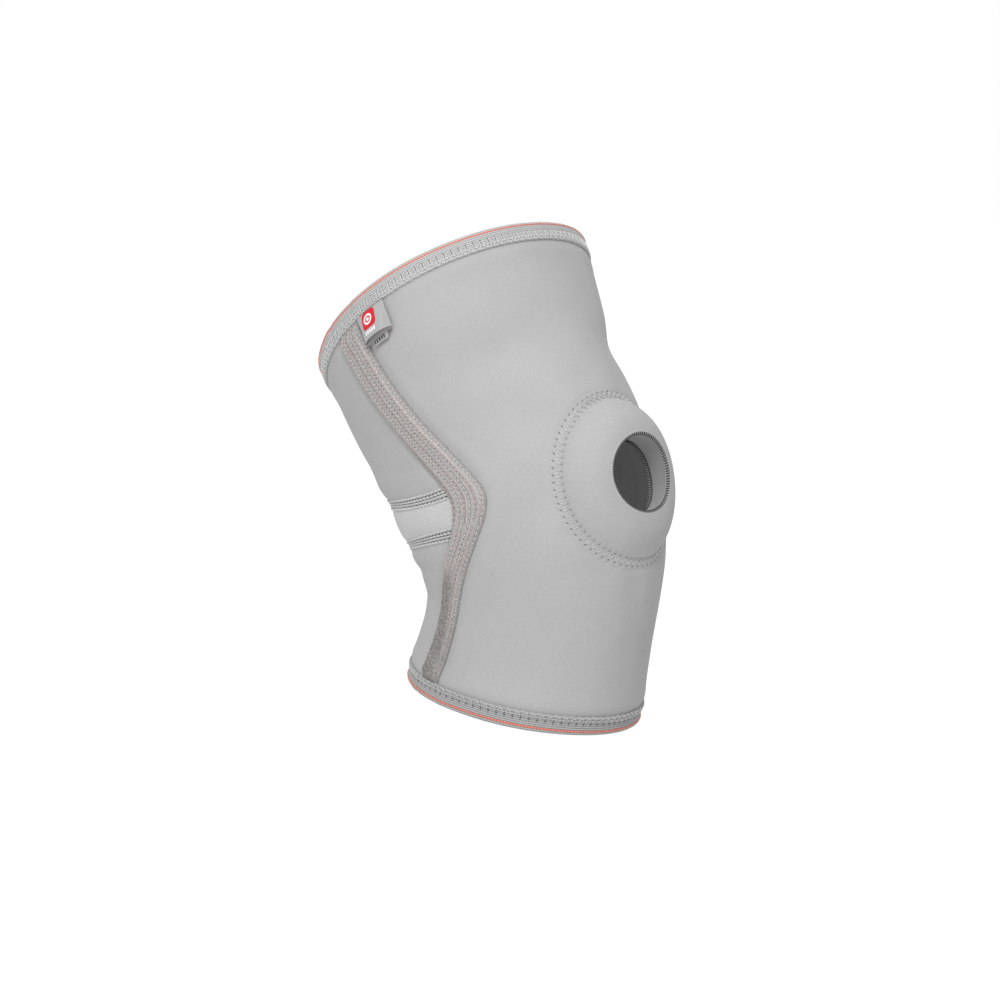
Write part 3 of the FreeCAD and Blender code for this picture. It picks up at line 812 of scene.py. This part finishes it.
# zigzag seam threads, sunk in the knit
k = np.arange(ZIGZAGS)
step = TAU / ZIGZAGS
outer, inner, after = pair(ZIG_OUT, k * step), pair(ZIG_IN, (k + 0.5) * step), pair(ZIG_OUT, (k + 1) * step)
parts = [stitches(ring_where, outer + [-0.5, 0.003], inner, 0.42, 0.25, sink=0.6, m=11, base=0.05) + (0,),
         stitches(ring_where, inner, after - [0.4, 0.0], 0.38, 0.22, sink=0.6, m=11, base=0.04) + (0,)]
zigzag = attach(join("patella_ring_zigzag", parts, [THREAD_SOFT]), "knee")
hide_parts("patella_ring_zigzag")

# overlock round the hole: short bars over the rim and over the back edge, and three threads along it
BARS, RIM_POINTS = 92, 672
parts = []
k = np.arange(BARS)[:, None]
step = TAU / BARS
along = np.linspace(0, 1, 9)[None]
arc = np.radians(-15 + 95 * along)
psi = (k + 0.35 * along) * step
p, nrm = ring_where(BORE_FRONT + 1.0 - 1.1 * np.cos(arc), psi, ring_rise(0, psi) - 1.0 + 1.1 * np.sin(arc))
side = unit(np.cross(nrm, np.gradient(p, axis=1)))
parts.append(tubes(p, np.cross(side, np.gradient(p, axis=1)), 0.31) + (1,))
psi = (k + 0.5 - 0.3 * along) * step
p, nrm = ring_where(BORE_BACK - 0.15 - 0.3 * along, psi, -PANEL - 0.3 + 2.0 * along)
parts.append(tubes(p, unit(np.cross(np.gradient(p, axis=1), nrm + 0.01)), 0.2) + (1,))
psi = turns(RIM_POINTS)[None]
rise = ring_rise(0, psi)
for r, off, radius, material in (
        (BORE_FRONT - 0.1, rise - 1.3, 0.2, 0), (BORE_FRONT + 1.25, rise + 0.06, 0.16, 0),
        (BORE_BACK - 0.45, -PANEL + 1.9, 0.22, 1)):
    p, nrm = ring_where(r + 0.14 * np.sin(psi * BARS), psi, off)
    parts.append(tubes(p, nrm, radius, closed=True) + (material,))
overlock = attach(join("patella_ring_overlock", parts, [THREAD_SOFT, DARK_THREAD_AND_SHADE]), "knee")
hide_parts("patella_ring_overlock")


# ---- hem bindings
RIB = 1.0


def hem_profile():
    """(distance in from the edge, offset) round the folded tape, from the outer free edge."""
    rows = [(BINDING_LEG, 0.15), (BINDING_LEG, 0.55)]
    for x in np.arange(9.4, 1.65, -0.1):
        rows.append((x, 0.84 + 0.17 * abs(math.sin(math.pi * x / RIB)) - 0.3 * max(0, (x - 9.0) / 0.5)))
    for a in np.linspace(0.08, math.pi - 0.08, 25):
        rows.append((1.7 - 1.7 * math.sin(a), -1.65 + 2.51 * math.cos(a) + 0.14 * abs(math.sin(5 * a))))
    rows += [(x, -4.15 - 0.12 * (i % 2)) for i, x in enumerate(np.linspace(1.8, 9.2, 17))]
    rows += [(BINDING_LEG, -3.8), (BINDING_LEG, -3.3)]
    return np.array(rows)


def binding(name, hem, side, body, pitch, stripe_in, stripe_r, bar_at, leg_to, dark, tape_material, thread):
    """Distances in from the edge, in millimetres: of the stripe, of the bars of painted shade and of the
    stitch legs' ends. dark is the depth of the painted shade in the grooves and the T-shaped holes."""
    rows = hem_profile()
    r = TOP_RADIUS if side > 0 else BOTTOM_RADIUS
    pitches = int(TAU * r / pitch)
    n = pitches * 10
    psi = turns(n)[:, None]
    k = psi / TAU * pitches
    inset, off = rows[:, 0][None], rows[:, 1][None]
    a = ((k + 0.5) % 1 - 0.5) * TAU / pitches * r
    b = (k % 1 - 0.5) * TAU / pitches * r
    out = off > 0.4
    # painted shade in the needle holes along the free edge and in the T-shaped holes
    edge = needle(inset - 9.0, a, 0.45, 0.42) * out
    tee = np.maximum(0.8 * needle(inset - 6.0, b, 0.95, 0.5 * dark),
                     needle(b, inset - bar_at, 0.9, 0.5 * dark)) * out
    pucker = 0.13 * np.cos(TAU * k) * bell(inset - 9.2, 1.4) * out
    scallop = 0.16 * np.sin(TAU * k) * bell(inset - 9.5, 0.8) * out
    p, _ = place(hem(psi) - side * (inset + scallop), psi, off - 0.4 * edge - 0.35 * tee + pucker)
    q = grid_quads(n, len(rows), wrap=True)
    if side < 0:
        q = q[:, ::-1]
    # painted shade in the grooves between the ribs
    groove = dark * (1 - np.abs(np.sin(math.pi * inset / RIB))) ** 1.5 * out
    uv = pair(psi * r, run_length(rows)[None])
    tape = build(name, p, q, uv, [tape_material], sharp=0, period=TAU * r,
                 hole=np.clip(edge ** 2 + (0.3 + dark) * tee ** 1.5 + groove, 0, 0.95))
    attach(tape, body)
    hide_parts(name)

    # coral stripe: one rounded wale of yarn
    m = pitches * 6
    psi = turns(m)[None]
    p, nrm = place(hem(psi) - side * (stripe_in + 0.03 * np.sin(psi * pitches * 2)), psi, 0.86)
    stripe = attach(join(name + "_stripe", [tubes(p, nrm, stripe_r, 8, closed=True) + (0,)], [CORAL]), body)
    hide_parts(name + "_stripe")

    # cover stitch between the free edge and the middle of the tape
    def where(x, a, off):
        return place(hem(a) - side * x, a, off)

    def run(x0, k0, x1, k1, lift, radius):
        a, b = pair(x0, (k + k0) * step), pair(x1, (k + k1) * step)
        parts.append(stitches(where, a, b, lift, radius, sink=0.35, base=0.93) + (0,))

    k = np.arange(pitches)
    step = TAU / pitches
    parts = []
    run(9.0, 0.0, 7.4, 0.34, 0.3, 0.22)
    run(7.4, 0.66, 9.0, 1.0, 0.3, 0.22)
    run(7.6, 0.36, leg_to, 0.34, 0.32, 0.24)
    run(7.3, 0.68, 7.3, 1.32, 0.2, 0.2)
    run(7.6, 0.64, leg_to, 0.66, 0.32, 0.24)
    run(7.5, 0.36, 7.5, 0.64, 0.25, 0.2)
    run(9.0, 0.04, 9.0, 0.90, 0.2, 0.2)
    run(9.0, 0.5, 9.9, 0.5, 0.0, 0.15)
    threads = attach(join(name + "_stitch", parts, [thread]), body)
    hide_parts(name + "_stitch")


binding("top_binding", top_hem, 1, "thigh", 3.9, 1.8, 0.34, 4.9, 4.8, 0.6, BINDING, THREAD)
# the lower hem has darker tape, darker thread and more dark in its grooves and holes: painted shade on the
# hem that faces down
binding("bottom_binding", bottom_hem, -1, "calf", 3.8, 2.4, 0.42, 7.1, 6.9, 0.9, BINDING_SHADED, THREAD_GREY)


# ---- insert seams
BAND_HALF, CORD_PITCH = 3.3, 2.7


def insert_seam(name, line):
    """A base strip, then four twisted cords with dots of painted shade in the needle rows between them."""
    s = KNEE_S
    for _ in range(6):
        lo = seam(s) + (CASING_HALF - 1.0) / SEAM_RADIUS
        s = line(lo)
    rows = count(190) * 2
    phi = np.linspace(lo, TAU - lo, rows)[:, None]
    w = np.linspace(-BAND_HALF, BAND_HALF, 9)
    s = line(phi) + w
    base, _ = place(s, phi, -0.35 + 0.42 * (1 - (w / 3.4) ** 4))
    parts = [(base.reshape(-1, 3), grid_quads(rows, len(w)), mm_uv(s, phi).reshape(-1, 2), 1)]
    phi = np.linspace(lo, TAU - lo, 900)
    length = run_length(skin(line(phi), phi))

    def where(x, d, off):
        a = np.interp(d, length, phi)
        return place(line(a) + x, a, off)
    bead = 0.30 + 0.42 * np.sin(np.linspace(0, math.pi, 9)) ** 0.8
    k = np.arange(int(length[-1] / CORD_PITCH))
    for row, x in enumerate((-2.4, -0.8, 0.8, 2.4)):
        d = (k + 0.5 * (row % 2)) * CORD_PITCH
        lean = 0.3 if row % 2 else -0.3
        parts.append(stitches(where, pair(x - lean, d), pair(x + lean, d + CORD_PITCH), 0.2, bead,
                              sink=0.2, m=9) + (0,))
    # dots of painted shade in the needle rows between the cords
    for x in (-1.6, 0.0, 1.6):
        d = (k + 0.8) * CORD_PITCH
        parts.append(stitches(where, pair(x, d), pair(x, d + 0.7), 0.0, 0.26, sink=0, m=3, base=0.24) + (2,))
    o = join(name, parts, [THREAD_GREY, BASE, DARK_THREAD_AND_SHADE])
    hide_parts(name)
    upper(o)


insert_seam("insert_seam_upper", insert_top)
insert_seam("insert_seam_lower", insert_low)


# ---- casings and stays
def channel(t):
    a = np.abs(t)
    u = clamp((a - CHANNEL_HALF) / (CASING_HALF - CHANNEL_HALF) * 1.25)
    return CHANNEL_RISE * 0.5 * (1 + np.cos(math.pi * u))


def casing_where(side):
    """Places things on the casing: t millimetres across the tape, and station s."""
    def where(t, s, off):
        phi = side * (seam(s) + t * casing_width(s) / CASING_RADIUS)
        lift = (channel(t) + 0.75) * end_taper(s, t)
        return place(s, phi, off + 0.15 + lift + casing_gather(s, t))
    return where


def casing_width(s):
    return 1 + 0.10 * bell(s - 18, 12) - 0.04 * bell(s + 25, 25)


def casing_gather(s, t):
    """The tape bunches where it turns at the insert."""
    bunch = 0.3 * bell(s - 19, 6) * np.sin(s * 2.4 + 0.25 * t) * clamp((t + 6) / 6)
    return bunch + 0.5 * bell(s - 19, 3.5) * bell(t - 1, 5)


def top_end(t):
    return top_hem(seam(114) + t / CASING_RADIUS) - BINDING_LEG + CASING_TUCK


def low_end(t):
    return bottom_hem(seam(-65) + t / CASING_RADIUS) + BINDING_LEG - CASING_TUCK


def end_taper(s, t):
    """The casing lies flat where it runs in under the hem tape."""
    x = clamp((np.minimum(top_end(t) - s, s - low_end(t)) - 0.6) / 6.5)
    return x * x * (3 - 2 * x)


ROWS_AT = np.array([-6.4, -4.1, -1.8, 0.5, 2.8, 6.2])     # the lines of dashes, across the tape
DASH, DASH_PITCH, RIB_PITCH = 1.4, 2.0, 1.15
STAY_PITCH, STAY_HALF, STAY_SHORT = 1.6, 2.5, 16          # the spiral stops short of the casing's end
CAP_LENGTH, CAP_WIDTH = 4.1, 3.4                          # half the length and half the width of a cap


for side, word in ((-1, "left"), (1, "right")):
    where = casing_where(side)
    for half, low_line, high_line, group in (("upper", split, top_end, upper),
                                             ("lower", low_end, split, lower)):
        s0, s1 = float(low_line(0.0)), float(high_line(0.0))
        t = np.linspace(-CASING_HALF, CASING_HALF, 101)[None]
        s = low_line(t) + (high_line(t) - low_line(t)) * np.linspace(0, 1, count(s1 - s0) * 2)[:, None]
        rib = np.abs(np.sin(math.pi * t / RIB_PITCH))
        hem = np.abs(t) - 7.0          # the turned edge of the tape
        dent = sum(-0.22 * bell(t - r, 0.35) for r in ROWS_AT)
        out, _ = where(t, s, 0.13 * rib + dent - 0.4 * clamp(hem / 0.6))
        inn, _ = where(t, s, -0.8)
        uv = pair(t, s)
        felt = clamp(clamp((t + 5.2) / 4.5) * clamp((-3 - s) / 9) + 0.5 * clamp((-22 - s) / 20))
        # painted shade in the grooves between the ribs and in the needle rows, and a line of it along the
        # turned edges, darker on the front edge
        grooves = 0.34 * (1 - rib) ** 2 + 0.12 * sum(bell(t - r, 0.3) for r in ROWS_AT)
        grooves = np.clip(grooves + np.where(t < 0, 0.45, 0.2) * clamp(hem / 0.4), 0, 0.7) + 0 * s
        if side > 0:
            out, inn, uv, felt, grooves = (x[:, ::-1] for x in (out, inn, uv, felt, grooves))
        o = shell("side_casing_%s_%s" % (word, half), out, inn, uv, [TAPE, LINING, TAPE],
                  hole=grooves, felt=felt)
        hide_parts("side_casing_" + word)
        group(o)
        # rows of dashes, with a dot of painted shade in the needle hole after each
        parts = []
        k = np.arange(int((s1 - s0 - 1.5) / DASH_PITCH))
        first = s0 + (1.3 if half == "lower" else 0.3)
        for i, r in enumerate(ROWS_AT):
            at = first + k * DASH_PITCH + (i % 2)
            at = at[(at < s1 - 1.8) & ((r < -3) | (at > -5)) & (at > -36)]
            a, b = pair(r, at), pair(r, at + DASH)
            parts.append(stitches(where, a, b, 0.26, 0.25, sink=0.3) + (i % 2,))
            dot = stitches(where, b + [0, 0.12], b + [0, 0.44], 0.0, 0.17, sink=0, m=3, base=0.06)
            parts.append(dot + (2,))
        o = join("casing_stitch_%s_%s" % (word, half), parts, [THREAD_SOFT, THREAD_ROSE, NEEDLE_HOLE_SHADE])
        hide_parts("casing_stitch_" + word)
        group(o)
        # the flat spiral inside
        lo, hi = (s0, s1 - STAY_SHORT) if half == "upper" else (s0 + STAY_SHORT, s1)
        x = np.linspace(0, 1, int((hi - lo) / STAY_PITCH) * 12)
        turn = x * (hi - lo) / STAY_PITCH * TAU
        s = lo + (hi - lo) * x
        phi = side * (seam(s) + STAY_HALF * np.cos(turn) / CASING_RADIUS)
        p, nrm = place(s, phi, 1.0 + 0.45 * np.sin(turn))
        o = join("spiral_stay_%s_%s" % (word, half), [tubes(p[None], nrm[None], 0.35, 5) + (0,)], [STEEL])
        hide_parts("spiral_stay_" + word)
        group(o)
        # the flat cap on the end of it
        x = np.linspace(-1, 1, 17)
        s = (hi if half == "upper" else lo) + CAP_LENGTH * x + (4.3 if half == "upper" else -4.3)
        p, nrm = place(s, side * seam(s), 1.15)
        pad = tubes(p[None], nrm[None], CAP_WIDTH * (1.001 - np.abs(x) ** 5) ** 0.4, 16, flat=0.28)
        o = join("stay_cap_%s_%s" % (word, half), [pad + (0,)], [CAP])
        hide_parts("stay_cap_%s_%s" % (word, half))
        group(o)


# ---- label
LABEL_AT = math.radians(-80.5)
LABEL_WIDTH, LABEL_DROP, LABEL_PLY, LABEL_BULGE, LABEL_SKEW = 16.8, 12.8, 0.5, 3.9, -0.23
LABEL_TUCK = 0.6         # from the tape's free edge to the sewn edge of the label
LABEL_WALL = 0.42
LABEL_SAG = 1 / (2 * 78.0)
sewn_s = top_hem(LABEL_AT) - BINDING_LEG - LABEL_TUCK
label_out = skin_normal(sewn_s, LABEL_AT)
label_origin = skin(sewn_s, LABEL_AT) + label_out * 1.9
beside = LABEL_AT + np.array([0.15, -0.15])
ends = skin(top_hem(beside) - BINDING_LEG - LABEL_TUCK, beside)
label_across = ends[0] - ends[1]
label_across = unit(label_across - label_out * (label_across @ label_out))
label_down = np.cross(label_across, label_out)
label_down = label_down * (-1 if label_down[2] > 0 else 1)


def label_front(x, d):
    h = 0.55 + (LABEL_BULGE - 0.55) * np.sin(clamp(d / LABEL_DROP) * math.pi / 2)
    return h * (1 - np.abs(2 * x / LABEL_WIDTH) ** 4) - LABEL_SAG * x * x + LABEL_PLY


def label_back(x, d):
    return -LABEL_SAG * x * x - 0.02 * d


def label_bow(x, d):
    return 0.8 * (1 - (2 * x / LABEL_WIDTH) ** 2) * (d / LABEL_DROP) ** 2


def label_point(x, d, off):
    across = label_across * (x - 0.6 + LABEL_SKEW * d)[..., None]
    return label_origin + across + label_down * d[..., None] + label_out * off[..., None]


def label_loop():
    """The folded loop of tape, open at both sides; its back ply hangs lower as a small tag."""
    half = LABEL_WIDTH / 2
    x = half * np.sin(np.linspace(-math.pi / 2, math.pi / 2, 41))
    d = np.linspace(0, LABEL_DROP, 25)[None]
    loops = []
    for inset in (0.0, LABEL_WALL):
        xs = x * (half - inset) / half
        back = label_back(xs[:, None], d) + inset
        front = np.maximum(label_front(xs[:, None], d) - inset, back + 0.06)
        behind = xs[::-1][1:-1]
        ring_x = np.concatenate([xs, behind])[:, None] + 0 * d
        tag = 1.1 + 3.0 * clamp((5.6 - behind) / 0.5) * clamp((behind + 4.6) / 0.5)
        longer = np.concatenate([np.zeros(len(xs)), tag])[:, None] * (d / LABEL_DROP)
        down = d - label_bow(ring_x, d) + longer
        loops.append(label_point(ring_x, down, np.concatenate([front, back[::-1][1:-1]])))
    n, m = loops[0].shape[:2]
    q0 = grid_quads(n, m, wrap=True)
    q1 = grid_quads(n, m, wrap=True, start=n * m)[:, ::-1]
    i = np.arange(n) * m
    k = np.roll(i, -1)
    low = np.stack([i, k, k + n * m, i + n * m], -1) + m - 1
    top = np.stack([i, i + n * m, k + n * m, k], -1)
    uv = pair(run_length(loops[0][:, -1])[:, None], d).reshape(-1, 2)
    index = np.concatenate([np.zeros(len(q0) + len(q1)), np.ones(len(low)), np.zeros(len(top))])
    o = build("label_loop", np.concatenate(loops).reshape(-1, 3), np.concatenate([q0, q1, low, top]),
              np.concatenate([uv, uv]), [LABEL, LABEL_EDGE], index, sharp=60, hole=np.zeros(2 * n * m))
    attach(o, "label")
    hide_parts("label_loop")


label_loop()


def label_where(x, d, off):
    p = label_point(x, d - label_bow(x, d), label_front(x, d) + off)
    return p, np.broadcast_to(label_out, p.shape)


def badge(cx, cy, rx, ry, off, power, inner=0.0):
    """A flat printed disc or ring on the front of the label; a low power makes it squarer."""
    a = np.linspace(0, TAU, 49)[:-1, None]
    f = np.linspace(inner, 1, 7)[None]
    x = cx + rx * (np.sign(np.cos(a)) * np.abs(np.cos(a)) ** power) * f
    y = cy + ry * (np.sign(np.sin(a)) * np.abs(np.sin(a)) ** power) * f
    p, _ = label_where(x, y, off)
    return p.reshape(-1, 3), grid_quads(*x.shape, wrap=True), pair(x, y).reshape(-1, 2)


def tag_where(x, d, off):
    p = label_point(x, LABEL_DROP - label_bow(x, LABEL_DROP) + d, label_back(x, LABEL_DROP) + 0.47 + off)
    return p, np.broadcast_to(label_out, p.shape)


parts = [badge(-0.9, 4.1, 4.3, 4.1, 0.07, 0.42) + (0,), badge(-1.2, 3.9, 2.6, 2.5, 0.12, 1.0, 0.62) + (1,),
         badge(-1.2, 3.9, 0.9, 0.85, 0.12, 1.0) + (1,)]
parts += [badge(x, 9.9, 0.5, 1.0, 0.09, 0.4) + (1,) for x in (-3.9, -2.5, -1.1, 0.3, 1.7)]
a = pair(np.arange(5) * 1.5 - 3.2, 1.6)
parts.append(stitches(tag_where, a, a + [0.0, 1.6], 0.0, 0.34, sink=0, m=3) + (3,))
a = pair(7.2, 0.8 + np.arange(7) * 1.6)
parts.append(stitches(label_where, a, a + [0.0, 1.0], 0.12, 0.12, sink=0.1, base=0.02) + (2,))
emblem = join("label_emblem", parts, [PRINT, PRINT_WHITE, THREAD_ROSE, PRINT_DARK])
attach(emblem, "label")
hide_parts("label_emblem")


# ---- cloth pieces and their flat sizes
def cut(name, length_, width_, share, on):
    """share, the cut's area as a part of its own rectangle, is not used."""
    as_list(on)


FRONT, REAR = ["rear_thigh_panel", "rear_calf_panel"], ["front_panel_upper", "front_panel_lower"]
for name, size, share, on in (
        ("front_panel_upper", (0.215, 0.130), 0.91, FRONT),
        ("front_panel_lower", (0.212, 0.100), 0.94, FRONT),
        ("rear_thigh_panel.001", (0.214, 0.092), 0.85, REAR),
        ("popliteal_insert.001", (0.198, 0.034), 0.79, REAR),
        ("rear_calf_panel.001", (0.186, 0.080), 0.76, REAR)):
    cut(name, size[1], size[0], share, on)
for word in ("left", "right"):
    cut("side_casing_%s_upper" % word, 0.113, 0.018, 1, ["front_panel_upper"])
    cut("side_casing_%s_lower" % word, 0.083, 0.018, 1, ["front_panel_lower"])
cut("label_loop.001", 0.0150, 0.0338, 1, ["top_binding"])

# ---- stage, light and camera
FLOOR_HALF, FLOOR_Z = 60.0, -0.5
me = bpy.data.meshes.new("floor")
corners = ((-1, -1), (1, -1), (1, 1), (-1, 1))
me.from_pydata([(x * FLOOR_HALF, y * FLOOR_HALF, FLOOR_Z) for x, y in corners], [], [(0, 1, 2, 3)])
floor = add_object("floor", me)
n = Nodes("floor")
n.surface({"Base Color": (0.3, 0.3, 0.3, 1), "Emission Color": (1, 1, 1, 1), "Emission Strength": 0.76,
           "Roughness": 0.9, "Specular IOR Level": 0.1})
me.materials.append(n.m)

world = bpy.data.worlds.new("studio")
world.use_nodes = True
background = world.node_tree.nodes["Background"].inputs
background[0].default_value, background[1].default_value = (1, 1, 1, 1), 1.0
bpy.context.scene.world = world
bpy.context.scene.view_settings.view_transform = "Standard"


def stand(name, data, right, up, back, at):
    """A new object that looks along -back from a point, in metres."""
    m = np.eye(4)
    m[:3, 0], m[:3, 1], m[:3, 2], m[:3, 3] = right, up, back, at
    obj = add_object(name, data)
    obj.matrix_world = Matrix(m.tolist())
    return obj


CAMERA_AZIMUTH, CAMERA_ELEVATION, CAMERA_ROLL = -47.6, 4.6, -0.86
CAMERA_DISTANCE = 1800.0
AIM_RIGHT, AIM_UP = -11.96, 2.64
a, e, r = (math.radians(x) for x in (CAMERA_AZIMUTH, CAMERA_ELEVATION, CAMERA_ROLL))
back = np.array([math.sin(a) * math.cos(e), -math.cos(a) * math.cos(e), math.sin(e)])
right = np.array([math.cos(a), math.sin(a), 0.0])
up = np.cross(back, right)
right, up = right * math.cos(r) + up * math.sin(r), -right * math.sin(r) + up * math.cos(r)
target = leg_line(KNEE_S) + right * AIM_RIGHT + up * AIM_UP
cam = bpy.data.cameras.new("camera")
cam.lens, cam.sensor_width = 135.0, 36.0
camera = stand("camera", cam, right, up, back, (target + back * CAMERA_DISTANCE) * 0.001)
bpy.context.scene.camera = camera


def area_light(name, at, look, size, power):
    light = bpy.data.lights.new(name, "AREA")
    light.shape, light.size, light.energy = "DISK", size, power
    away = unit(np.array(at, float) - np.array(look, float))
    across = unit(np.cross((0, 0, 1), away))
    stand(name, light, across, np.cross(away, across), away, at)


area_light("key", (-1.45, -0.95, 1.75), (0, 0, 0.03), 0.8, 29)
area_light("top", (0.25, -0.95, 1.75), (0, 0, 0.1), 0.8, 7.5)

# dark screens beside the set shade both outlines of the sleeve, as in a white studio
n = Nodes("screen")
n.surface({"Base Color": (0.05, 0.05, 0.05, 1), "Roughness": 0.9})
for name, a, b, low in (("screen_right", (0.15, -1.3), (1.1, -0.2), -0.35),
                        ("screen_left", (-1.2, 0.5), (-0.5, 1.2), 0.15)):
    me = bpy.data.meshes.new(name)
    me.from_pydata([(*a, low), (*b, low), (*b, 1.2), (*a, 1.2)], [], [(0, 1, 2, 3)])
    me.materials.append(n.m)
    screen = add_object(name, me)
    screen.visible_camera = False
